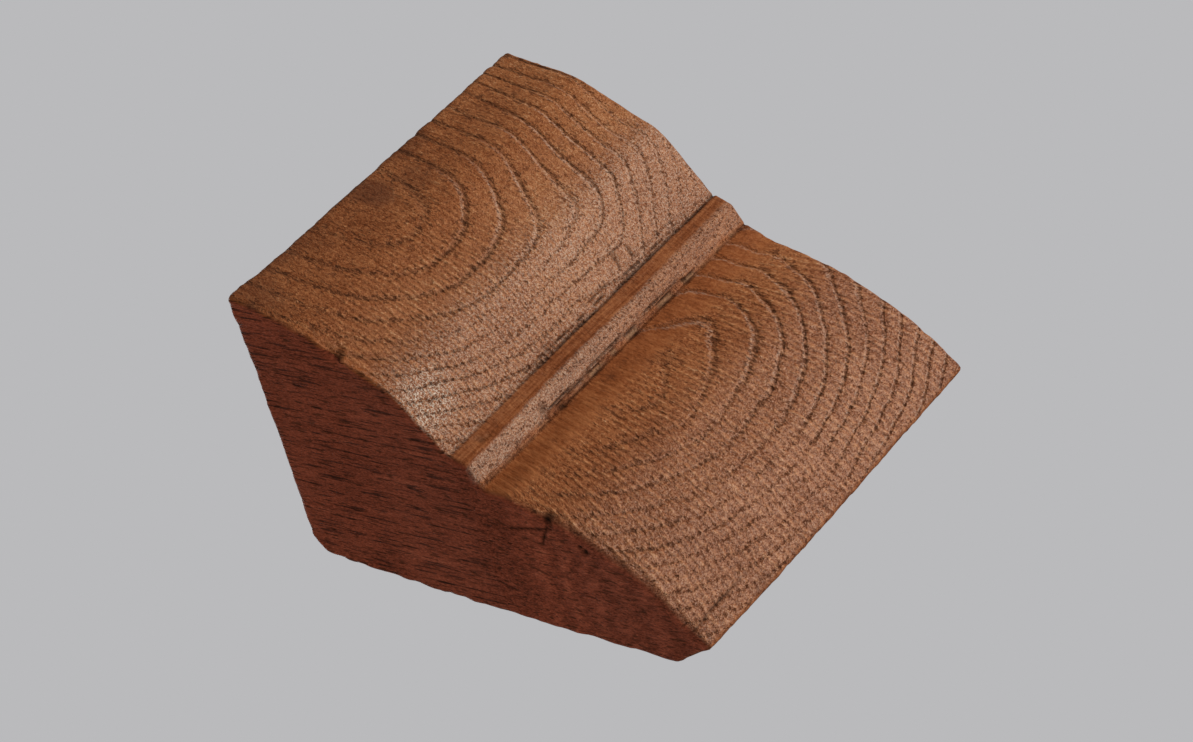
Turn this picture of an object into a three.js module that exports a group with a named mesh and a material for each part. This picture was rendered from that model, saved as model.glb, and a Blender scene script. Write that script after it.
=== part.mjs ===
// Corbel bracket: one block of timber with a moulded front, fixed to a wall to carry a shelf.
// Millimetres, +Z up. The wall face lies in the plane y = 0 and the moulded front faces -Y.
// The origin is the middle of the wall face.
import * as THREE from 'three';

// Driving dimensions
const width = 152; // along the wall
const height = 171; // down the wall
const projection = 110; // out from the wall, at the lip under the shelf
const endEdgeRound = 1.5; // worn edge around each end
const endEdgeSteps = 3;
const arcSteps = 4;

// Corners of the section, in order from the back of the shelf face, over the front and down to the toe.
// drop is the distance below the shelf face, out the distance from the wall, round the corner's radius.
const corners = {
  shelfBack: { drop: 0, out: 0, round: 9 },
  lip: { drop: 0, out: projection, round: 2 },
  fasciaFoot: { drop: 29.5, out: 104.5, round: 45 },
  shoulder: { drop: 63.5, out: 87.5, round: 20 },
  cove: { drop: 79.5, out: 65.5, round: 5 },
  beadNose: { drop: 88, out: 62.5, round: 3 },
  beadFoot: { drop: 91, out: 54.5, round: 2.5 },
  crest: { drop: 126, out: 46, round: 50 },
  shin: { drop: 151.5, out: 32, round: 50 },
  toe: { drop: height + 1.1, out: 11.2, round: 2.2 }, // its round ends at the full height
  heelBack: { drop: 155.5, out: 0, round: 11 },
};

// A closed outline of straight runs, with an arc in each corner
function roundedOutline(points, radii) {
  const outline = new THREE.Shape();
  points.forEach((corner, i) => {
    const toBefore = points.at(i - 1).clone().sub(corner).normalize();
    const toAfter = points[(i + 1) % points.length].clone().sub(corner).normalize();
    const halfAngle = Math.acos(toBefore.dot(toAfter)) / 2;
    const setback = radii[i] / Math.tan(halfAngle);
    const bisector = toBefore.clone().add(toAfter).normalize();
    const centre = corner.clone().addScaledVector(bisector, radii[i] / Math.sin(halfAngle));
    const start = corner.clone().addScaledVector(toBefore, setback).sub(centre);
    const end = corner.clone().addScaledVector(toAfter, setback).sub(centre);
    const clockwise = toBefore.cross(toAfter) > 0;
    outline.absarc(centre.x, centre.y, radii[i], start.angle(), end.angle(), clockwise);
  });
  outline.closePath();
  return outline;
}

// The section, drawn with the wall's normal across and the height up
function corbelSection() {
  const breaks = Object.values(corners);
  const points = breaks.map(({ drop, out }) => new THREE.Vector2(-out, height / 2 - drop));
  return roundedOutline(points, breaks.map(({ round }) => round));
}

// The section run along the wall, with its end edges rounded inside the full width
function corbelBlock() {
  const straightRun = width - 2 * endEdgeRound;
  const geometry = new THREE.ExtrudeGeometry(corbelSection(), {
    depth: straightRun,
    bevelThickness: endEdgeRound,
    bevelSize: endEdgeRound,
    bevelOffset: -endEdgeRound,
    bevelSegments: endEdgeSteps,
    curveSegments: arcSteps,
  });
  const stainedTimber = new THREE.MeshStandardMaterial({ color: 0x7a5039, roughness: 0.6, metalness: 0 });
  const block = new THREE.Mesh(geometry, stainedTimber);
  block.name = 'corbel';
  block.rotation.set(Math.PI / 2, Math.PI / 2, 0); // section's axes to Y and Z, run along X
  block.position.x = -straightRun / 2;
  return block;
}

const corbel = new THREE.Group();
corbel.add(corbelBlock());

export default corbel;
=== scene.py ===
import math
from types import SimpleNamespace

import bpy
import numpy as np
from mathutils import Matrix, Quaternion, Vector
from mathutils.geometry import delaunay_2d_cdt


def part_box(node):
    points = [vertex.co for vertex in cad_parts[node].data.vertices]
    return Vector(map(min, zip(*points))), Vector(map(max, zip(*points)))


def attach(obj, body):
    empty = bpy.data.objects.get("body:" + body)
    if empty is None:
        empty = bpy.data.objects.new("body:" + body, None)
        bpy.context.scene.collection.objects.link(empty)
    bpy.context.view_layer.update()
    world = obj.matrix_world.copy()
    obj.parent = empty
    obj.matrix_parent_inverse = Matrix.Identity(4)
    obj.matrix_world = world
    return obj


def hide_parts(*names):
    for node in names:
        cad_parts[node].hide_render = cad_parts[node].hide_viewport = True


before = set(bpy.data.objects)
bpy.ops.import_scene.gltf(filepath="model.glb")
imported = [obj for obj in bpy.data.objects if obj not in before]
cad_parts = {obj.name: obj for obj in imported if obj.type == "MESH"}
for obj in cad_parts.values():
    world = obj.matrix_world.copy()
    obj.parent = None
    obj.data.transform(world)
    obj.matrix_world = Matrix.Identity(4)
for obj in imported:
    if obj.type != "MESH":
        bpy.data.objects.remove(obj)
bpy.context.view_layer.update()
print("frame loaded:", list(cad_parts))

# The block is worked in millimetres: along from its left end, drop below the shelf face, out from the wall
blockLow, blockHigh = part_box("corbel")
mm = 0.001
blockWidth = (blockHigh.x - blockLow.x) / mm
blockHeight = (blockHigh.z - blockLow.z) / mm

# Corners of the section, each with its drop, its reach out from the wall and its radius
section = {
    "shelfBack": (0, 0, 9),
    "lip": (0, 110, 2.2),
    "fasciaFoot": (29.5, 104.5, 45),
    "shoulder": (63.5, 87.5, 20),
    "cove": (79.5, 65.5, 5),
    "beadNose": (88, 62.5, 4.2),
    "beadFoot": (91, 54.5, 2.5),
    "crest": (126, 46, 50),
    "shin": (151.5, 32, 50),
    "toe": (blockHeight + 1.1, 11.2, 2.2),
    "heelBack": (155.5, 0, 11),
}

beadMiddle = 85  # the drop that parts the upper lobe from the lower

# How closely the mesh follows each stretch of the section, and the worn round at the two ends
carving = {
    "frontStep": 0.74,
    "beadStep": 0.46,
    "toeStep": 1.0,
    "backStep": 2.2,
    "alongStep": 0.86,
    "endRoundUpper": 1.6,
    "endRoundLower": 4.0,
    "endRoundFar": 1.0,
    "endRoundSteps": 4,
    "nearEndStep": 1.35,
    "farEndStep": 1.75,
    "crackSpot": (113, 43, 18, 0.6),  # finer mesh round the crack on the left end: drop, out, reach, step
    "upperLean": 1.6,  # the upper lobe is this much fuller at the right end, and thinner at the left
    "lowerLean": -2.0,
}


# Eases from 0 to 1, and stays there
def smooth(value):
    value = np.clip(value, 0, 1)
    return value * value * (3 - 2 * value)


# Soft random values between -1 and 1 on a lattice, the same on every run
def latticeNoise(points, seed):
    cell = np.floor(points).astype(np.int64)
    part = points - cell
    weight = part * part * (3 - 2 * part)
    total = np.zeros(len(points))
    for corner in np.ndindex(2, 2, 2):
        at = cell + corner
        mixed = at[:, 0] * 73856093 ^ at[:, 1] * 19349663 ^ at[:, 2] * 83492791 ^ seed * 2654435761
        mixed = (mixed ^ (mixed >> 13)) * 1274126177
        value = ((mixed >> 7) & 0xFFFF) / 32767.5 - 1
        share = np.prod(np.where(np.array(corner) == 1, weight, 1 - weight), axis=1)
        total += value * share
    return total


# Noise that is stretched down the grain
def grainNoise(at, across, downGrain, seed):
    return latticeNoise(np.stack([at.along / across, at.out / across, at.drop / downGrain], axis=1), seed)


# Noise that changes along the wall only
def alongNoise(along, spacing, seed, row=0):
    return latticeNoise(np.stack([along / spacing, along * 0 + row, along * 0], axis=1), seed)


# A soft line or spot: 1 in the middle, fading over its reach
def bell(distance, reach):
    return np.exp(-((distance / reach) ** 2))


denseStep = 0.05  # between the points that trace the section


# The section as closely spaced points, going round from the shelf's back over the front to the wall
def denseSection():
    corners = np.array([corner[:2] for corner in section.values()], float)
    radii = [corner[2] for corner in section.values()]
    arcs = []
    for i, radius in enumerate(radii):
        toBefore = corners[i - 1] - corners[i]
        toAfter = corners[(i + 1) % len(corners)] - corners[i]
        toBefore /= np.linalg.norm(toBefore)
        toAfter /= np.linalg.norm(toAfter)
        halfAngle = math.acos(toBefore @ toAfter) / 2
        bisector = (toBefore + toAfter) / np.linalg.norm(toBefore + toAfter)
        centre = corners[i] + bisector * radius / math.sin(halfAngle)
        start = corners[i] + toBefore * radius / math.tan(halfAngle) - centre
        end = corners[i] + toAfter * radius / math.tan(halfAngle) - centre
        startAngle = math.atan2(start[1], start[0])
        turn = (math.atan2(end[1], end[0]) - startAngle + math.pi) % (2 * math.pi) - math.pi
        angles = startAngle + turn * np.linspace(0, 1, 25)
        arcs.append(centre + radius * np.stack([np.cos(angles), np.sin(angles)], axis=1))
    closed = np.vstack(arcs + [arcs[0][:1]])
    run = np.concatenate([[0], np.cumsum(np.linalg.norm(np.diff(closed, axis=0), axis=1))])
    fine = np.arange(0, run[-1], denseStep)
    return np.stack([np.interp(fine, run, closed[:, k]) for k in (0, 1)], axis=1)


dense = denseSection()


# Mesh stations round the section, closer where the carving is finer
def sectionStations():
    drop, out = dense.T
    onFront = (out > 13.5) & (drop > 0.6)
    step = np.where(onFront, carving["frontStep"], carving["backStep"])
    step = np.where(onFront & (drop > 75) & (drop < 95), carving["beadStep"], step)
    step = np.where((drop > 150) & (out <= 13.5), carving["toeStep"], step)
    step = np.where((drop < 12) & ((out < 12) | (out > 100)), carving["toeStep"], step)
    step = np.convolve(np.concatenate([step[-40:], step, step[:40]]), np.ones(81) / 81, "valid")
    measure = np.concatenate([[0], np.cumsum(denseStep / step)])[:-1]
    count = int(measure[-1])
    picks = np.searchsorted(measure, np.arange(count) * measure[-1] / count)
    tangent = np.roll(dense, -4, axis=0) - np.roll(dense, 4, axis=0)
    tangent /= np.linalg.norm(tangent, axis=1)[:, None]
    normal = np.stack([-tangent[:, 1], tangent[:, 0]], axis=1)
    return dense[picks], normal[picks], picks * denseStep


# The whole skin before its relief: loops of stations along the wall, and a filled cap at each end
def blockSkin():
    points, normals, runs = sectionStations()
    drop, out = points.T
    lower = smooth((drop - 95) / 25) * smooth(out / 12) * smooth((172 - drop) / 12)
    nearRound = carving["endRoundUpper"] + (carving["endRoundLower"] - carving["endRoundUpper"]) * lower
    farRound = np.full(len(points), carving["endRoundFar"])
    turns = np.linspace(math.pi / 2, 0, carving["endRoundSteps"] + 1)
    middle = np.linspace(0, 1, int(blockWidth / carving["alongStep"]))[1:-1]
    loops = []
    for turn in turns:
        inset = nearRound * (1 - math.cos(turn))
        loops.append((nearRound * (1 - math.sin(turn)), points - normals * inset[:, None]))
    for share in middle:
        loops.append((nearRound + (blockWidth - nearRound - farRound) * share, points))
    for turn in turns[::-1]:
        inset = farRound * (1 - math.cos(turn))
        loops.append((blockWidth - farRound * (1 - math.sin(turn)), points - normals * inset[:, None]))
    count = len(points)
    skin = np.vstack([np.column_stack([along, shape]) for along, shape in loops])
    ring = np.arange(count)
    nextRing = np.roll(ring, -1)
    quads = []
    for k in range(len(loops) - 1):
        here, there = k * count, (k + 1) * count
        quads.append(np.stack([here + ring, here + nextRing, there + nextRing, there + ring], axis=1))
    quads = np.vstack(quads)
    nearCap = endCap(skin[ring], carving["nearEndStep"], ring, len(skin), carving["crackSpot"])
    skin = np.vstack([skin, nearCap[0]])
    farEdge = ring + (len(loops) - 1) * count
    farCap = endCap(skin[farEdge], carving["farEndStep"], farEdge, len(skin))
    skin = np.vstack([skin, farCap[0]])
    run = np.concatenate([np.tile(runs, len(loops)), np.full(len(skin) - count * len(loops), -1.0)])
    return skin, quads, nearCap[1], farCap[1][:, ::-1], run


# Triangles that fill one end inside its edge, with points spread evenly over it
def endCap(edge, step, edgeIndex, firstNew, fineSpot=None):
    outline = edge[:, 1:]
    low, high = outline.min(axis=0), outline.max(axis=0)
    rows = np.arange(low[0] + step, high[0], step * 0.87)
    cols = np.arange(low[1] + step, high[1], step)
    grid = np.array([(d, o + (i % 2) * step / 2) for i, d in enumerate(rows) for o in cols])
    if fineSpot:
        middle, reach = np.array(fineSpot[:2]), fineSpot[2]
        steps = np.arange(-reach, reach, fineSpot[3])
        finer = np.array([middle + (i + 0.11 * (j % 2), j) for i in steps for j in steps])
        grid = grid[np.abs(grid - middle).max(axis=1) > reach]
        grid = np.vstack([grid, finer])
        step = fineSpot[3]
    inside = np.zeros(len(grid), bool)
    nearest = np.full(len(grid), 1e9)
    for a, b in zip(outline, np.roll(outline, -1, axis=0)):
        crosses = (a[1] > grid[:, 1]) != (b[1] > grid[:, 1])
        at = a[0] + (grid[:, 1] - a[1]) / (b[1] - a[1] + 1e-12) * (b[0] - a[0])
        inside ^= crosses & (grid[:, 0] < at)
        span = b - a
        share = np.clip((grid - a) @ span / (span @ span), 0, 1)
        nearest = np.minimum(nearest, np.linalg.norm(grid - a - share[:, None] * span, axis=1))
    grid = grid[inside & (nearest > step * 0.6)]
    flat = [Vector(p) for p in np.vstack([outline, grid])]
    bounds = [(i, (i + 1) % len(outline)) for i in range(len(outline))]
    _, _, faces, origin, _, _ = delaunay_2d_cdt(flat, bounds, [], 1, 1e-7)
    index = np.concatenate([edgeIndex, firstNew + np.arange(len(grid))])
    lookup = np.array([index[o[0]] for o in origin])
    points = np.column_stack([np.full(len(grid), edge[:, 0].mean()), grid])
    return points, lookup[np.array(faces)]


skin, quads, nearTris, farTris, run = blockSkin()
print("skin:", len(skin), "points,", 2 * len(quads) + len(nearTris) + len(farTris), "triangles")


# How far the front stands out at each drop, for shaping the ends along with it
def frontReach(drop):
    front = dense[(dense[:, 1] > 6) & (dense[:, 0] > 0.3)]
    front = front[np.argsort(front[:, 0])]
    return np.interp(drop, front[:, 0], front[:, 1])


# Where round the section a point lies, as a length from its start
def runAt(drop, out):
    return np.argmin(np.hypot(dense[:, 0] - drop, dense[:, 1] - out)) * denseStep


# Places where the hand-worked block swells: along, drop, out, how far it spreads, moved down, moved out
swells = {
    "nearLip": (0, 0, 110, 16, -0.9, 0.9),
    "nearTopBack": (0, 0, 6, 34, -1.2, 0.8),
    "nearHeel": (0, 158, 3, 22, -0.3, 0.6),
    "nearBack": (0, 72, 0, 42, 0, -0.7),
    "toeMiddle": (58, 171, 11, 60, 0.9, 0.3),
}


# Hand work: the two lobes are not quite the same at both ends
def leanLobes(along, drop, out):
    upper = smooth((drop - 8) / 25) * smooth((80 - drop) / 12)
    lower = smooth((drop - 92) / 10) * smooth((165 - drop) / 15)
    lean = carving["upperLean"] * upper + carving["lowerLean"] * lower
    nearFront = smooth((out / frontReach(drop) - 0.2) / 0.8)
    movedDrop, movedOut = drop.copy(), out + lean * (2 * along / blockWidth - 1) * nearFront
    for a, d, o, spread, down, outward in swells.values():
        share = np.exp(-(((along - a) ** 2 + (drop - d) ** 2 + (out - o) ** 2) / spread**2))
        movedDrop += down * share
        movedOut += outward * share
    return movedDrop, movedOut


# Growth rings: flattened ovals round a pith that runs down just behind the lip
rings = {
    "pithAlongTop": 59,
    "pithAlongToe": 73,
    "pithOut": 111,
    "flatteningTop": 2.1,
    "flatteningToe": 1.5,
    "steeperRight": 0.45,  # less flattened on the slope at the right
    "ringsPerMm": 0.05,  # near the pith
    "ringsPerMmGain": 0.000645,  # rings close up further out
    "steadyRadius": 95,  # and keep their spacing beyond this
    "ringOffset": -0.08,
}


# Where the pith lies along the wall: it drifts to the right on its way down
def pithAlong(drop):
    drift = rings["pithAlongToe"] - rings["pithAlongTop"]
    return rings["pithAlongTop"] + drift * smooth((drop - 40) / 90)


# Place in the growth rings: a whole number on each ring line
def ringPlace(at):
    along, drop = at.along, at.drop
    change = rings["flatteningToe"] - rings["flatteningTop"]
    onSlope = smooth((along - 70) / 45) * smooth((drop - 35) / 30) * smooth((90 - drop) / 8)
    flattening = rings["flatteningTop"] + change * smooth((drop - 60) / 50)
    flattening -= rings["steeperRight"] * onSlope
    radius = np.hypot(along - pithAlong(drop), flattening * (rings["pithOut"] - at.out))
    radius += 1.6 * grainNoise(at, 16, 45, 11)
    radius += 0.5 * grainNoise(at, 5, 18, 12)
    inner = np.minimum(radius, rings["steadyRadius"])
    perMm = rings["ringsPerMm"] + 2 * rings["ringsPerMmGain"] * rings["steadyRadius"]
    place = rings["ringsPerMm"] * inner + rings["ringsPerMmGain"] * inner**2
    return place + perMm * (radius - inner) + rings["ringOffset"]


# Unit normals of the skin, from its triangles
def skinNormals(points, triangles):
    a, b, c = (points[triangles[:, k]] for k in range(3))
    flat = np.cross(b - a, c - a)
    normals = np.zeros_like(points)
    for k in range(3):
        np.add.at(normals, triangles[:, k], flat)
    return normals / np.linalg.norm(normals, axis=1)[:, None]


# From the block's millimetres to the part's frame, still in millimetres
def toFrame(along, drop, out):
    return np.stack([blockLow.x / mm + along, -out, blockHigh.z / mm - drop], axis=1)


# A stretch along the wall that fades in and out over a few millimetres
def stretch(along, start, end, fade):
    return smooth((along - start) / fade) * smooth((end - along) / fade)


# Brushed relief, in millimetres
relief = {
    "ringDepth": 0.42,
    "ringHalfWidth": 0.11,  # as a share of the ring spacing
    "fibreDepth": 0.13,
    "fibreFan": 0.004,  # how fast the fibres spread below the bead
    "waveDepth": 0.4,
    "edgeWear": 0.42,
    "backEdgeBumps": 0.6,
    "creaseDepth": 0.75,
    "sliverDepth": 1.1,
    "crackDepth": 0.4,
    "splitDepth": 0.5,
}

# Chips and pits: along, drop, out, size, depth, darkness (of the shade painted into each)
chips = {
    "edgeChipLower": (0.2, 115.6, 48.4, 2.4, 1.8, 1.2),
    "edgeChipUpper": (0.8, 40.5, 97.0, 4.6, 1.9, 0.1),
    "edgeChipHole": (0.0, 43.0, 95.2, 2.0, 1.2, 1.0),
    "endPit": (0.0, 127.5, 40.8, 1.8, 0.7, 1.1),
    "endPitBeside": (0.0, 129.2, 39.2, 2.2, 0.8, 1.0),
    "beadNotch": (38.0, 90.4, 59.2, 2.2, 1.2, 0.8),
    "ledgeChip": (12.6, 84.6, 64.6, 1.9, 0.8, 0.7),
    "ledgeChipBeside": (15.0, 85.4, 64.3, 1.6, 0.7, 0.6),
    "pinHole": (8.8, 77.3, 70.0, 1.2, 0.7, 1.0),
    "shoulderGouge": (101.5, 75.8, 71.5, 2.6, 0.7, 0.25),
}

# Short splits on the slope above the cove, from one along and drop to another
slopeSplits = [
    ((102.8, 74.0), (102.4, 75.7)),
    ((102.4, 75.7), (100.6, 77.7)),
    ((109.2, 75.6), (108.5, 77.3)),
]
slopeLength = 1.7  # length down the slope for each millimetre of drop

# A thin crack on the left end, as lines from one drop and out to another
crackLines = [
    ((117.0, 45.0), (98.5, 40.2)),
    ((116.4, 47.9), (114.8, 44.5)),
    ((114.8, 44.5), (111.6, 38.2)),
]


# Every point of the skin: its place, what it faces, and the noise that several marks share
def readSkin():
    at = SimpleNamespace()
    at.along, drop, out = skin.T.copy()
    at.drop, at.out = leanLobes(at.along, drop, out)
    at.points = toFrame(at.along, at.drop, at.out)
    triangles = np.vstack([quads[:, [0, 1, 2]], quads[:, [0, 2, 3]], nearTris, farTris])
    at.normals = skinNormals(at.points, triangles)
    at.onEnd = smooth((np.abs(at.normals[:, 0]) - 0.55) / 0.4)
    at.onFront = smooth((-at.normals[:, 1] - 0.05) / 0.2)
    at.onTop = smooth((at.normals[:, 2] - 0.5) / 0.3)
    at.onNearEnd = at.onEnd * smooth((blockWidth / 2 - at.along) / 10)
    at.seen = np.maximum(at.onFront, at.onNearEnd)  # the back, the top and the right end are plainer
    at.offCaps = run >= 0
    at.upper = at.drop < beadMiddle
    at.coveRun, at.footRun = runAt(80.8, 66.0), runAt(91.4, 55.0)
    at.onBead = smooth((run - at.coveRun) / 1.2) * smooth((at.footRun + 1 - run) / 1.2)
    at.rightLimb = smooth((at.along - pithAlong(at.drop)) / 30)
    at.here = np.stack([at.along, at.drop, at.out], axis=1)
    at.coarse = latticeNoise(at.here / 5, 41)
    at.ragged = at.coarse + 0.7 * latticeNoise(at.here / 2.1, 42)
    at.torn = alongNoise(at.along, 7, 51)
    at.tornFiner = alongNoise(at.along, 3, 53)
    return at


# Where the ring lines lie, and how strongly each of them shows
def ringLines(at):
    along, drop, upper, rightLimb = at.along, at.drop, at.upper, at.rightLimb
    place = ringPlace(at)
    ringTurn = np.round(place)
    perRing = latticeNoise(np.stack([ringTurn * 0.83, ringTurn * 0, ringTurn * 0 + 0.5], axis=1), 25)
    nearSlope = smooth((50 - along) / 25) * smooth((drop - 30) / 12)
    strength = 0.42 + 0.5 * rightLimb + 0.5 * grainNoise(at, 13, 30, 21) + 0.25 * perRing
    strength += np.where(upper, 0.2 * nearSlope, 0.15)
    strength = np.clip(strength, 0.08, 1) * (1 - 0.9 * at.onBead)
    aboveCove = (0.1 + 0.4 * rightLimb) * smooth((drop - 60) / 18)
    farRight = 0.6 * smooth((along - 128) / 20) * smooth((drop - 20) / 15)
    underBead = 0.8 * (1 - smooth((drop - 98) / 20)) * (1 - rightLimb)
    strength *= np.where(upper, (1 - aboveCove) * (1 - farRight), 1 - underBead)
    strength *= np.maximum(at.onFront, at.onTop) * (1 - at.onEnd)
    return place, strength


# Ring grooves, fibres and the slow waves of the hand-worked front
def grainRelief(at, place, strength):
    broken = 0.5 + 0.5 * grainNoise(at, 1.5, 24, 22)
    groove = bell(place - np.round(place), relief["ringHalfWidth"]) * strength * (0.35 + 0.65 * broken)
    fibre = grainNoise(at, 1.7, 26, 23) + 0.6 * grainNoise(at, 3.1, 60, 24)
    wave = latticeNoise(at.here / 34, 31) + 0.4 * latticeNoise(at.here / 12, 32)
    height = -relief["ringDepth"] * groove
    height += relief["fibreDepth"] * fibre * (1 - 0.7 * at.onBead)
    return height + relief["waveDepth"] * wave * at.onFront * (1 - 0.6 * at.onBead)


# How near each point is to an edge of the section
def nearEdge(at, corner, reach):
    drop, out, radius = section[corner]
    return bell(np.hypot(at.drop - drop, at.out - out), reach)


# Worn and broken edges round the two ends, along the lip and along the toe
def edgeRelief(at):
    fromEnd = np.minimum(at.along, blockWidth - at.along)
    endEdge = bell(fromEnd, 2.0) * at.offCaps
    backEdge = endEdge * smooth((12 - at.out) / 8)
    wornEdge = np.maximum(0.8 * nearEdge(at, "lip", 2.5), 0.7 * nearEdge(at, "toe", 3.5))
    wornEdge = np.maximum(endEdge, wornEdge)
    height = -relief["edgeWear"] * (0.5 * at.ragged - 0.05) * wornEdge
    return height + relief["backEdgeBumps"] * backEdge * (0.3 + at.coarse)


# The sliver that has come away at the bead's foot
def missingSliver(at):
    top = at.footRun - 2.6 - 0.5 * at.torn
    depth = smooth((run - top) / 0.5) * smooth((at.footRun + 0.3 - run) / 0.5)
    return depth * stretch(at.along, 37.5, 117, 1.0)


# Creases at the bead's foot, in the cove and above the toe: middle, half width and force of each; they are
# carved in and painted dark as shade
def creaseLines(at):
    along, foot, cove, torn, tornFiner = at.along, at.footRun, at.coveRun, at.torn, at.tornFiner
    lines = [
        (foot, 0.45 + 0.5 * stretch(along, 37, 48, 3), 0.6 + 0.4 * tornFiner),
        (foot - 1.4, 0.4, stretch(along, 37, 125, 5) * (0.7 + 0.7 * tornFiner)),
        (foot - 2.9, 0.4, stretch(along, 37, 115, 5) * (0.6 - 0.7 * torn)),
        (foot - 0.9, 0.5, stretch(along, 2, 37, 3) * (0.35 + 0.9 * tornFiner)),
        (cove, 0.5, (0.3 + 0.7 * smooth((along - 15) / 60)) * (1 - 0.3 * torn)),
        (cove - 1.7, 0.4, stretch(along, 25, 150, 30) * (0.55 + 0.6 * tornFiner)),
        (cove - 3.6, 0.35, stretch(along, 45, 140, 20) * (0.3 + 0.6 * torn)),
        (runAt(165.5, 17.0), 0.5, smooth((36 - along) / 12) * (0.6 + 0.4 * torn)),
    ]
    crease = np.zeros(len(skin))
    for middle, halfWidth, force in lines:
        wander = 0.35 * alongNoise(along, 14, 52, middle)
        crease = np.maximum(crease, bell(run - middle - wander, halfWidth) * np.clip(force, 0, 1))
    sliverStart = bell(along - 37.3, 0.55) * stretch(run, foot - 5.2, foot + 0.5, 0.8)
    return np.maximum(crease, 0.6 * sliverStart)


# How far each point is from a line between two places on a flat map
def fromLine(flatMap, start, end):
    span = np.subtract(end, start)
    offset = flatMap - np.array(start)
    offset -= np.clip(offset @ span / (span @ span), 0, 1)[:, None] * span
    return np.linalg.norm(offset, axis=1)


# Chips, the crack and the splits: where each one bites, its depth and its darkness, painted in as shade
def damage(at):
    marks = []
    for along, drop, out, size, depth, darkness in chips.values():
        away = np.sqrt((at.along - along) ** 2 + (at.drop - drop) ** 2 + (at.out - out) ** 2)
        marks.append((smooth(1.15 - away / size * (1 + 0.45 * at.ragged)), depth, darkness))
    onLeftCap = (run < 0) & (at.along < blockWidth / 2)
    endMap = np.stack([at.drop, at.out], axis=1)
    for start, end in crackLines:
        line = bell(fromLine(endMap, start, end), 0.48) * onLeftCap
        marks.append((line, relief["crackDepth"], 1.0))
    onSlope = at.upper & at.offCaps
    slopeScale = np.array([1, slopeLength])
    slopeMap = np.stack([at.along, at.drop], axis=1) * slopeScale
    for start, end in slopeSplits:
        away = fromLine(slopeMap, start * slopeScale, end * slopeScale)
        line = bell(away + 0.25 * at.ragged, 0.6) * onSlope
        marks.append((line, relief["splitDepth"], 0.75))
    return marks


# Dark stains along the lip: along, drop, half length along, half length down, force
stains = {
    "smudge": (67, 8, 7, 12, 0.95),
    "leftCorner": (6, 6, 9, 14, 0.6),
    "leftRun": (30, 2, 15, 6, 0.6),
    "middleRun": (92, 2, 12, 7, 0.65),
    "besideSmudge": (80, 16, 9, 7, 0.45),
}


# Stain that has soaked in along the lip and the toe
def soakMask(at):
    soak = 0.5 * smooth(1 - at.drop / 22) * smooth(0.3 + 0.9 * grainNoise(at, 9, 16, 61))
    for along, drop, alongHalf, downHalf, force in stains.values():
        away = ((at.along - along) / alongHalf) ** 2 + ((at.drop - drop) / downHalf) ** 2
        soak = np.maximum(soak, force * smooth(1.2 - away * (1 + 0.5 * at.coarse)))
    return np.maximum(soak * at.onFront, nearEdge(at, "toe", 3.5) * smooth(at.ragged))


# The bead's ledge, which gets painted shade; its face, rubbed pale and partly a painted highlight; the
# painted highlight along its nose; and the sliver's pale edge
def beadMasks(at):
    along, foot, tornFiner = at.along, at.footRun, at.tornFiner
    nose = runAt(87.4, 62.0) - 1.2 * smooth((along - 15) / 30) - 1.0 * smooth((along - 90) / 50)
    nose = nose - 0.3 * tornFiner
    ledge = at.onBead * smooth((nose + 0.6 - run) / 1.6) * at.offCaps
    rubbedAndLit = smooth((run - nose + 1) / 1.4) * smooth((foot - 0.6 + 0.8 * at.torn - run) / 2.2)
    rubbedAndLit *= at.onBead * at.offCaps * (1 - 0.5 * smooth((along - 30) / 90))
    noseLight = bell(run - nose - 0.9, 0.8) * at.offCaps * smooth(0.6 + 0.7 * tornFiner)
    pale = bell(run - foot + 0.7, 0.4) * stretch(along, 55, 150, 8) * smooth(0.35 + 0.8 * tornFiner)
    return ledge, rubbedAndLit, noseLight, pale


# Painted light and shade: how much paler or darker each part of the front is than the plain stain, paler
# on the slope, the far fascia and the bead's nose and face, darker in the cove, just under the bead, at
# the toe and toward the near end; the ends a little paler towards the top
def paintedLightAndShadeMask(at, rubbedAndLit, noseLight):
    along, drop, upper = at.along, at.drop, at.upper
    farGlow = smooth((along - 92) / 36) * smooth((62 - drop) / 30)
    lipShade = smooth((26 - drop) / 24) * (1 - farGlow)
    fasciaGlow = smooth((drop - 16) / 12) * smooth((64 - drop) / 10) * smooth((along - 8) / 16)
    slopeGlow = smooth((drop - 32) / 16) * smooth((84 - drop) / 9)
    slopeGlow *= 1 - 0.75 * smooth((along - 95) / 40) * smooth((drop - 60) / 12)
    coveShade = smooth((run - at.coveRun + 5) / 5) * (run < at.coveRun + 0.5) * smooth((along - 35) / 40)
    upperShade = 0.12 * farGlow + 0.01 * lipShade + 0.03 * fasciaGlow + 0.10 * slopeGlow - 0.09 * coveShade
    # just under the bead it is darker, as painted shade, and paler further down
    underBead = smooth((drop - 97) / 9) * (1 - 0.5 * smooth((drop - 112) / 15))
    underBead -= 0.7 * smooth((102 - drop) / 6)
    toeShade = (0.03 + 0.04 * smooth((along - 95) / 45)) * smooth((drop - 118) / 20)
    paintedLightAndShade = np.where(upper, upperShade, 0.085 * underBead) - toeShade
    # painted highlight along the bead's nose and on its face
    paintedLightAndShade += 0.04 * rubbedAndLit + 0.10 * noseLight
    # painted shade toward the near end of the front
    paintedLightAndShade -= np.where(upper, 0.05, 0.04) * smooth((14 - along) / 14) * (1 - at.onEnd)
    return paintedLightAndShade * at.seen + 0.04 * at.onEnd * smooth((70 - drop) / 50)


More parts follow.
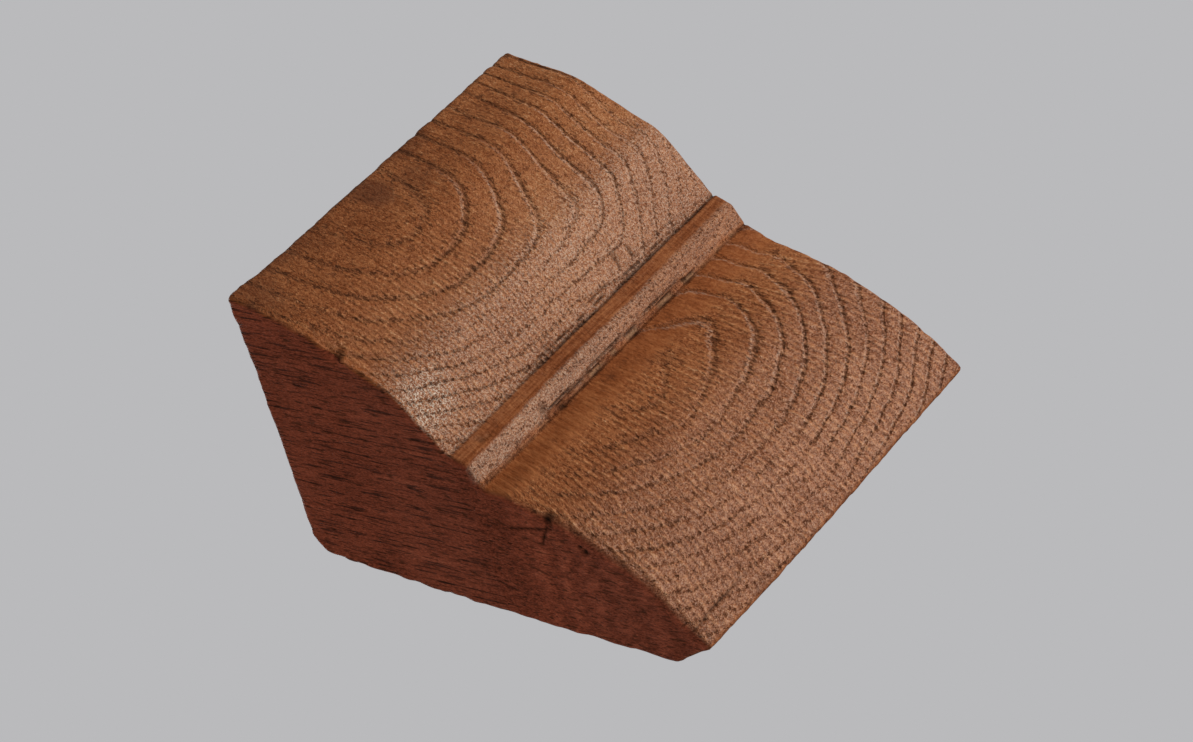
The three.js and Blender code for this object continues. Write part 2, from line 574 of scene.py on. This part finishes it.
# Painted highlight: where the key light's sheen falls, pale specks are mixed into the colour; the same
# mask makes the varnish a little smoother
def sheenAndPolishMask(at, rubbedAndLit):
    along, drop = at.along, at.drop
    offBead, offEnd = 1 - at.onBead, 1 - at.onEnd
    sheenSpots = [
        1.2 * bell(along - 9, 13) * bell(drop - 69, 7) * offBead * offEnd,
        0.5 * bell(along - 88, 14) * bell(drop - 68, 7) * offBead,
        0.36 * at.upper * smooth((drop - 50) / 14) * offBead * offEnd,
        0.1 * smooth((drop - 112) / 25) * offEnd,
        0.4 * rubbedAndLit,
    ]
    return np.maximum.reduce(sheenSpots) * at.onFront


# The masks that the finish reads, each with a value at every point
def finishMasks(at):
    along, drop, upper, rightLimb = at.along, at.drop, at.upper, at.rightLimb
    ledge, rubbedAndLit, noseLight, pale = beadMasks(at)
    calm = smooth((run - at.footRun) / 1.5) * smooth((at.footRun + 17 - run) / 9)
    calm = np.maximum(ledge, calm)
    pith = pithAlong(drop)
    fan = 1 + relief["fibreFan"] * np.maximum(drop - beadMiddle, 0)
    upperComb = 0.3 + 0.7 * smooth((drop - 20) / 22) * smooth((100 - along) / 45)
    lowerComb = 0.2 + 0.8 * smooth((drop - 97) / 16)
    comb = np.where(upper, upperComb, lowerComb) * (1 - 0.8 * at.onBead)
    worn = bell(along, 2.8) * at.offCaps * at.onFront * smooth(0.55 + 0.6 * at.coarse)
    upperGloss = 0.45 + 0.25 * smooth((drop - 32) / 25)
    lowerGloss = 0.5 + 0.5 * smooth((drop - 105) / 35)
    gloss = np.where(upper, upperGloss, lowerGloss) * (1 - 0.45 * calm)
    return {
        "comb": comb * (0.4 + 0.6 * at.seen),
        "fibreX": pith + (along - pith) / fan,
        "soak": soakMask(at),
        "worn": worn * (1 - at.onBead) * smooth((70 - drop) / 12),
        "onEnd": at.onEnd,
        "onNearEnd": at.onNearEnd,
        "endDash": at.onEnd * (0.35 + 0.65 * smooth((105 - drop) / 45)),
        "calm": calm,
        "ledge": ledge,
        "rubbedAndLit": rubbedAndLit,
        "pale": pale,
        "ringTone": np.where(upper, 0.9, 0.6),
        "ringJag": np.where(upper, 0.75 - 0.4 * rightLimb, 0.9 - 0.3 * rightLimb),
        # where the ring grooves get a painted highlight on one rim and painted shade on the other side
        "rimLight": at.onFront * rightLimb * np.where(upper, smooth((drop - 16) / 20), 0.6),
        "paintedLightAndShade": paintedLightAndShadeMask(at, rubbedAndLit, noseLight),
        "sheenAndPolish": sheenAndPolishMask(at, rubbedAndLit),
        "planed": at.onBead,
        "gloss": gloss * at.seen + 0.5 * (1 - at.seen),
    }


# Carves the relief into the skin, and returns the points with the masks
def carveSkin():
    at = readSkin()
    place, strength = ringLines(at)
    crease = creaseLines(at)
    height = grainRelief(at, place, strength) + edgeRelief(at)
    height -= relief["sliverDepth"] * missingSliver(at) + relief["creaseDepth"] * crease
    # the chips, the crack and the splits are carved in, and their darkness is painted shade
    for bite, depth, darkness in damage(at):
        height -= depth * bite
        crease = np.maximum(crease, darkness * bite)
    masks = {"ringPlace": place, "ringStrength": strength, "crease": crease}
    masks.update(finishMasks(at))
    return at.points + at.normals * height[:, None], masks


def makeCorbel():
    points, masks = carveSkin()
    faces = [tuple(q) for q in quads.tolist()] + [tuple(t) for t in nearTris.tolist() + farTris.tolist()]
    mesh = bpy.data.meshes.new("corbelCarved")
    mesh.from_pydata((points * mm).tolist(), [], faces)
    for name, values in masks.items():
        layer = mesh.attributes.new(name, "FLOAT", "POINT")
        layer.data.foreach_set("value", np.ascontiguousarray(values, dtype=np.float32))
    mesh.shade_smooth()
    mesh.update()
    piece = bpy.data.objects.new("corbelCarved", mesh)
    bpy.context.scene.collection.objects.link(piece)
    return piece


# Colours are scene-linear, from the darkest fibres to the palest; depths are in millimetres
timber = {
    "frontTones": [
        (0.080, 0.021, 0.008),
        (0.265, 0.074, 0.020),
        (0.455, 0.160, 0.050),
        (0.700, 0.380, 0.190),
    ],
    "endTones": [
        (0.085, 0.022, 0.012),
        (0.300, 0.064, 0.028),
        (0.510, 0.113, 0.051),
        (0.700, 0.200, 0.095),
    ],
    "wornOrange": (0.440, 0.125, 0.028, 1),
    # the bead's face: rubbed paler, and partly a painted highlight
    "rubbedAndLitPale": (0.550, 0.390, 0.280, 1),
    "paleSliver": (0.600, 0.370, 0.200, 1),
    # painted shade on the upward-facing ledge
    "ledgeShade": (0.90, 0.88, 0.90, 1),
    # ring lines are dark; where rimLight is set, only on the groove's shaded side, as painted shade
    "grooveDarkAndShade": (0.060, 0.024, 0.012, 1),
    # painted shade in the creases, cracks, chips and pits
    "holeShadeColour": (0.026, 0.014, 0.009, 1),
    "poreDark": (0.100, 0.036, 0.018, 1),
    # painted sheen: pale specks laid where the key light's highlight falls
    "paintedSheenPale": (0.720, 0.585, 0.455, 1),
    # painted highlight on the lit rim of the ring grooves
    "rimHighlight": (0.680, 0.530, 0.410, 1),
    "endDashDark": (0.036, 0.015, 0.010, 1),
    "soakDark": (0.115, 0.030, 0.011, 1),
    "grainTilt": -4,  # degrees, seen on the ends
    "patterns": {  # squeeze down the grain, scale, detail, roughness
        "streaks": (0.06, 0.42, 3, 0.6),
        "fibres": (0.09, 1.3, 2, 0.6),
        "hatch": (0.22, 2.6, 1, 0.5),
        "strokes": (0.17, 1.0, 1, 0.5),
        "dust": (0.35, 1.9, 3, 0.75),
        "dashes": (0.06, 1.0, 2, 0.6),
    },
    "combPeriod": 2.35,
    "ringGroove": 0.6,
    "combDepth": 0.2,
    "strokeDepth": 0.25,
    "fibreDepth": 0.22,
    "speckDepth": 0.16,
    "creaseDepth": 0.3,
    "sheenTint": (1.0, 0.93, 0.80, 1),
    "gloss": 1.0,
    "endGloss": 0.25,
}


class Nodes:
    def __init__(self, tree):
        self.tree = tree

    def add(self, kind, inputs=None, **settings):
        node = self.tree.nodes.new(kind)
        for name, value in settings.items():
            setattr(node, name, value)
        for key, value in (inputs or {}).items():
            if isinstance(value, bpy.types.NodeSocket):
                self.tree.links.new(value, node.inputs[key])
            else:
                node.inputs[key].default_value = value
        return node

    def math(self, operation, a, b=0.5):
        return self.add("ShaderNodeMath", {0: a, 1: b}, operation=operation).outputs[0]

    def times(self, *values):
        product = values[0]
        for value in values[1:]:
            product = self.math("MULTIPLY", product, value)
        return product

    def plus(self, *values):
        total = values[0]
        for value in values[1:]:
            total = self.math("ADD", total, value)
        return total

    # A noise value moved to swing about zero, times its shares
    def swing(self, value, *shares):
        return self.times(self.plus(value, -0.5), *shares)

    def range(self, value, fromLow, fromHigh, toLow=0.0, toHigh=1.0):
        inputs = {0: value, 1: fromLow, 2: fromHigh, 3: toLow, 4: toHigh}
        return self.add("ShaderNodeMapRange", inputs, interpolation_type="SMOOTHSTEP").outputs[0]

    def mix(self, share, a, b, blend="MIX"):
        inputs = {0: share, 6: a, 7: b}  # the mixer's colour sockets
        return self.add("ShaderNodeMix", inputs, data_type="RGBA", blend_type=blend).outputs[2]

    def noise(self, vector, scale, detail=2.0, roughness=0.5):
        inputs = {"Vector": vector, "Scale": scale, "Detail": detail, "Roughness": roughness}
        return self.add("ShaderNodeTexNoise", inputs).outputs[0]

    # Small grains, each with a tone of its own, and the distance from each grain's middle
    def grains(self, vector, scale):
        node = self.add("ShaderNodeTexVoronoi", {"Vector": vector, "Scale": scale})
        tone = self.add("ShaderNodeSeparateColor", {0: node.outputs["Color"]}).outputs[0]
        return tone, node.outputs["Distance"]

    def ramp(self, value, tones):
        node = self.add("ShaderNodeValToRGB", {0: value})
        while len(node.color_ramp.elements) < len(tones):
            node.color_ramp.elements.new(0.5)
        for i, (stop, tone) in enumerate(zip(node.color_ramp.elements, tones)):
            stop.position = i / (len(tones) - 1)
            stop.color = (*tone, 1)
        return node.outputs[0]

    def stretched(self, vector, downGrain, alongWall=1):
        inputs = {"Vector": vector, "Scale": (alongWall, 1, downGrain)}
        return self.add("ShaderNodeMapping", inputs).outputs[0]

    def mask(self, name):
        return self.add("ShaderNodeAttribute", attribute_name=name).outputs["Fac"]


def timberFinish():
    material = bpy.data.materials.new("stainedTimber")
    material.use_nodes = True
    nodes = Nodes(material.node_tree)
    shader = material.node_tree.nodes["Principled BSDF"]

    # places in millimetres, as they lie in the block and as they follow the grain
    objectPlace = nodes.add("ShaderNodeTexCoord").outputs["Object"]
    place = nodes.add("ShaderNodeMapping", {"Vector": objectPlace, "Scale": (1000, 1000, 1000)}).outputs[0]
    parts = nodes.add("ShaderNodeSeparateXYZ", {0: place}).outputs
    fannedParts = {0: nodes.mask("fibreX"), 1: parts[1], 2: parts[2]}
    fanned = nodes.add("ShaderNodeCombineXYZ", fannedParts).outputs[0]
    tilt = (math.radians(-timber["grainTilt"]), 0, 0)
    grain = nodes.add("ShaderNodeMapping", {"Vector": fanned, "Rotation": tilt}).outputs[0]

    streaks, fibres, hatch, strokes, dust, dashes = (
        nodes.noise(nodes.stretched(grain, squeeze), *pattern)
        for squeeze, *pattern in timber["patterns"].values()
    )
    specks, speckBumps = nodes.grains(nodes.stretched(grain, 0.5), 2.7)
    patches = nodes.noise(place, 0.03, 3)
    planed = nodes.noise(nodes.stretched(place, 1, 0.06), 1.1, 2, 0.6)  # plane strokes along the bead

    # the comb of fine ribs that runs down the grain
    combWander = nodes.times(nodes.noise(nodes.stretched(grain, 0.1), 0.2, 1), 9.0)
    combTurn = nodes.times(nodes.mask("fibreX"), 2 * math.pi / timber["combPeriod"])
    combWave = nodes.math("SINE", nodes.plus(combTurn, combWander))
    combForce = nodes.times(nodes.mask("comb"), nodes.range(streaks, 0.35, 0.6, 0.2, 1))
    combRib = nodes.times(combWave, combForce)

    # ring lines, jagged where they cross the fibres
    jag = nodes.plus(nodes.swing(fibres, 0.32), nodes.swing(strokes, 0.2))
    jagged = nodes.plus(nodes.mask("ringPlace"), nodes.times(jag, nodes.mask("ringJag")))
    wrapped = nodes.add("ShaderNodeMath", {0: jagged, 1: 0.5, 2: -0.5}, operation="WRAP").outputs[0]
    fromLine = nodes.math("ABSOLUTE", wrapped)
    ringDots = nodes.range(combRib, -0.6, 0.5, 1, 0.45)
    ringForce = nodes.times(nodes.mask("ringStrength"), ringDots, nodes.range(hatch, 0.3, 0.65, 1, 0.6))
    line = nodes.times(nodes.range(fromLine, 0.02, 0.12, 1, 0), ringForce)
    # painted light and shade at the ring grooves: where rimLight is set, only the side away from the pith
    # is painted dark, as shade, and a pale highlight is painted on the rim toward the pith
    rightOfLine = nodes.range(wrapped, -0.07, 0.0)
    sided = nodes.mask("rimLight")
    rimBand = nodes.times(nodes.range(wrapped, -0.20, -0.11), nodes.range(wrapped, -0.09, -0.02, 1, 0))
    rim = nodes.times(rimBand, ringForce, sided, nodes.range(specks, 0.2, 0.8, 0.2, 1))
    shadedSide = nodes.math("MAXIMUM", rightOfLine, nodes.range(sided, 0, 1, 1, 0))
    groove = nodes.times(line, shadedSide, nodes.mask("ringTone"))
    nearLine = nodes.range(fromLine, 0.05, 0.45, 1, 0.4)
    rugged = nodes.range(nodes.mask("calm"), 0, 1, 1, 0.35)
    pores = nodes.times(nodes.range(strokes, 0.56, 0.66), nearLine, rugged)
    endDashes = nodes.times(nodes.range(dashes, 0.56, 0.65), nodes.mask("endDash"))
    crease = nodes.mask("crease")
    # painted shade: creases, cracks, chips and pits are painted near black
    holeShade = nodes.math("MINIMUM", nodes.times(crease, 0.92), 1.0)
    dark = nodes.math("MAXIMUM", groove, holeShade)

    tone = nodes.plus(
        nodes.swing(patches, 0.35),
        nodes.swing(streaks, 0.45),
        nodes.swing(fibres, 0.5),
        nodes.swing(hatch, rugged, 0.65),
        nodes.swing(specks, rugged, 0.25),
        nodes.swing(dust, rugged, 0.7),
        nodes.times(combRib, 0.13),
        nodes.swing(planed, nodes.mask("planed"), 0.7),
        nodes.mask("paintedLightAndShade"),
        0.41,
    )
    frontColour = nodes.ramp(tone, timber["frontTones"])
    endColour = nodes.ramp(tone, timber["endTones"])
    colour = nodes.mix(nodes.mask("onNearEnd"), frontColour, endColour)
    sheenAndPolish = nodes.mask("sheenAndPolish")
    # painted sheen: pale specks mixed in where the key light's highlight falls
    paintedSheen = nodes.times(nodes.math("MINIMUM", sheenAndPolish, 1.0), nodes.range(dust, 0.47, 0.60))

    # what lies over the plain stain, from the first layer to the last: wear, stains, slivers, pores, grain
    # lines and end dashes, and among them painted sheen, highlights and shade
    layers = [
        (nodes.times(nodes.mask("worn"), 0.8), "wornOrange", "MIX"),
        (paintedSheen, "paintedSheenPale", "MIX"),
        # the bead's face, rubbed and partly painted with highlight; the ledge darkened as painted shade
        (nodes.times(nodes.mask("rubbedAndLit"), 0.15), "rubbedAndLitPale", "MIX"),
        (nodes.mask("ledge"), "ledgeShade", "MULTIPLY"),
        (nodes.times(nodes.mask("soak"), 0.65), "soakDark", "MIX"),
        (nodes.times(nodes.mask("pale"), 0.5), "paleSliver", "MIX"),
        (nodes.times(rim, 0.75), "rimHighlight", "MIX"),
        (nodes.times(pores, 0.75), "poreDark", "MIX"),
        (groove, "grooveDarkAndShade", "MIX"),
        (holeShade, "holeShadeColour", "MIX"),
        (nodes.times(endDashes, 0.75), "endDashDark", "MIX"),
    ]
    for share, paint, blend in layers:
        colour = nodes.mix(share, colour, timber[paint], blend)
    material.node_tree.links.new(colour, shader.inputs["Base Color"])

    rough = nodes.plus(
        nodes.range(specks, 0, 1, 0.44, 0.62),
        nodes.times(dark, 0.2),
        nodes.times(sheenAndPolish, -0.14),
    )
    material.node_tree.links.new(rough, shader.inputs["Roughness"])
    gloss = nodes.times(
        nodes.range(nodes.mask("onEnd"), 0, 1, timber["gloss"], timber["endGloss"]),
        nodes.mask("gloss"),
        nodes.range(nodes.plus(dark, pores), 0, 1, 1, 0.2),
        nodes.range(tone, 0.15, 0.5, 0.3, 1),
    )
    shader.inputs["Specular Tint"].default_value = timber["sheenTint"]
    material.node_tree.links.new(gloss, shader.inputs["Specular IOR Level"])

    height = nodes.plus(
        nodes.times(line, -timber["ringGroove"]),
        nodes.times(combRib, timber["combDepth"]),
        nodes.times(pores, -timber["strokeDepth"]),
        nodes.times(endDashes, -timber["strokeDepth"]),
        nodes.times(fibres, timber["fibreDepth"]),
        nodes.times(hatch, rugged, timber["fibreDepth"]),
        nodes.times(speckBumps, rugged, -timber["speckDepth"]),
        nodes.times(crease, -timber["creaseDepth"]),
    )
    bump = nodes.add("ShaderNodeBump", {"Height": height, "Strength": 1.0, "Distance": mm}).outputs[0]
    material.node_tree.links.new(bump, shader.inputs["Normal"])
    return material


corbel = makeCorbel()
corbel.data.materials.append(timberFinish())
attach(corbel, "root")
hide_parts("corbel")
print("corbel carved:", len(corbel.data.vertices), "points")

# The corbel hangs at mantel height, so the floor lies well below it
studio = {
    "floorDrop": 1.2,
    "floorSide": 8.0,
    "floorColour": (0.80, 0.80, 0.80, 1),
    "backdropColour": (0.491, 0.491, 0.503, 1),
    "ambient": 0.30,
    "ambientSheen": 0.04,  # what the varnish mirrors of the room
    "keyFrom": (0.510, -0.440, -0.738),
    "keyDistance": 1.2,
    "keySize": 0.45,
    "keyPower": 10.5,
    "topFrom": (0.25, 0.45, 0.86),
    "topDistance": 1.6,
    "topSize": 1.0,
    "topPower": 14.0,
}


def makeFloor():
    half = studio["floorSide"] / 2
    mesh = bpy.data.meshes.new("studioFloor")
    corners = [(-half, -half, 0), (half, -half, 0), (half, half, 0), (-half, half, 0)]
    mesh.from_pydata(corners, [], [(0, 1, 2, 3)])
    floor = bpy.data.objects.new("studioFloor", mesh)
    floor.location.z = -studio["floorDrop"]
    bpy.context.scene.collection.objects.link(floor)
    paint = bpy.data.materials.new("paleFloor")
    paint.use_nodes = True
    shader = paint.node_tree.nodes["Principled BSDF"]
    shader.inputs["Base Color"].default_value = studio["floorColour"]
    shader.inputs["Roughness"].default_value = 0.8
    mesh.materials.append(paint)


# The backdrop shows plain grey, and lights the corbel more softly than it shows
def makeBackdrop():
    world = bpy.data.worlds.new("studioAir")
    bpy.context.scene.world = world
    world.use_nodes = True
    nodes = Nodes(world.node_tree)
    shown = world.node_tree.nodes["Background"]
    shown.inputs["Color"].default_value = studio["backdropColour"]
    white = (1, 1, 1, 1)
    lit, mirrored = (
        nodes.add("ShaderNodeBackground", {"Color": white, "Strength": studio[name]}).outputs[0]
        for name in ("ambient", "ambientSheen")
    )
    path = nodes.add("ShaderNodeLightPath").outputs
    soft = nodes.add("ShaderNodeMixShader", {0: path["Is Glossy Ray"], 1: lit, 2: mirrored}).outputs[0]
    inputs = {0: path["Is Camera Ray"], 1: soft, 2: shown.outputs[0]}
    both = nodes.add("ShaderNodeMixShader", inputs).outputs[0]
    world.node_tree.links.new(both, world.node_tree.nodes["World Output"].inputs["Surface"])


def makeLamp(name, fromDirection, distance, size, power):
    lamp = bpy.data.lights.new(name, "AREA")
    lamp.size = size
    lamp.energy = power
    holder = bpy.data.objects.new(name, lamp)
    away = Vector(fromDirection).normalized()
    holder.location = (blockLow + blockHigh) / 2 + away * distance
    holder.rotation_mode = "QUATERNION"
    holder.rotation_quaternion = (-away).to_track_quat("-Z", "Y")
    holder.visible_camera = False
    bpy.context.scene.collection.objects.link(holder)


makeFloor()
makeBackdrop()
makeLamp("keyLamp", studio["keyFrom"], studio["keyDistance"], studio["keySize"], studio["keyPower"])
makeLamp("topLamp", studio["topFrom"], studio["topDistance"], studio["topSize"], studio["topPower"])
print("studio lit")

# The photograph's view: from below and to the left, turned on its side
camera = {
    "azimuth": -44.8,
    "elevation": -36.5,
    "roll": -75.7,
    "distance": 1.18,
    "aim": (0.0007, -0.0423, 0.0079),
    "lens": 105.6,
}


def makeCamera():
    lens = bpy.data.cameras.new("photoCamera")
    lens.lens = camera["lens"]
    lens.sensor_width = 36
    lens.sensor_fit = "HORIZONTAL"
    lens.clip_start = 0.05
    lens.clip_end = 30
    holder = bpy.data.objects.new("photoCamera", lens)
    turn, rise = math.radians(camera["azimuth"]), math.radians(camera["elevation"])
    flat = math.cos(rise)
    away = Vector((math.sin(turn) * flat, -math.cos(turn) * flat, math.sin(rise)))
    holder.location = Vector(camera["aim"]) + away * camera["distance"]
    holder.rotation_mode = "QUATERNION"
    roll = Quaternion((0, 0, 1), math.radians(camera["roll"]))
    holder.rotation_quaternion = (-away).to_track_quat("-Z", "Y") @ roll
    bpy.context.scene.collection.objects.link(holder)
    bpy.context.scene.camera = holder


makeCamera()
bpy.context.scene.view_settings.view_transform = "Standard"
print("camera placed")
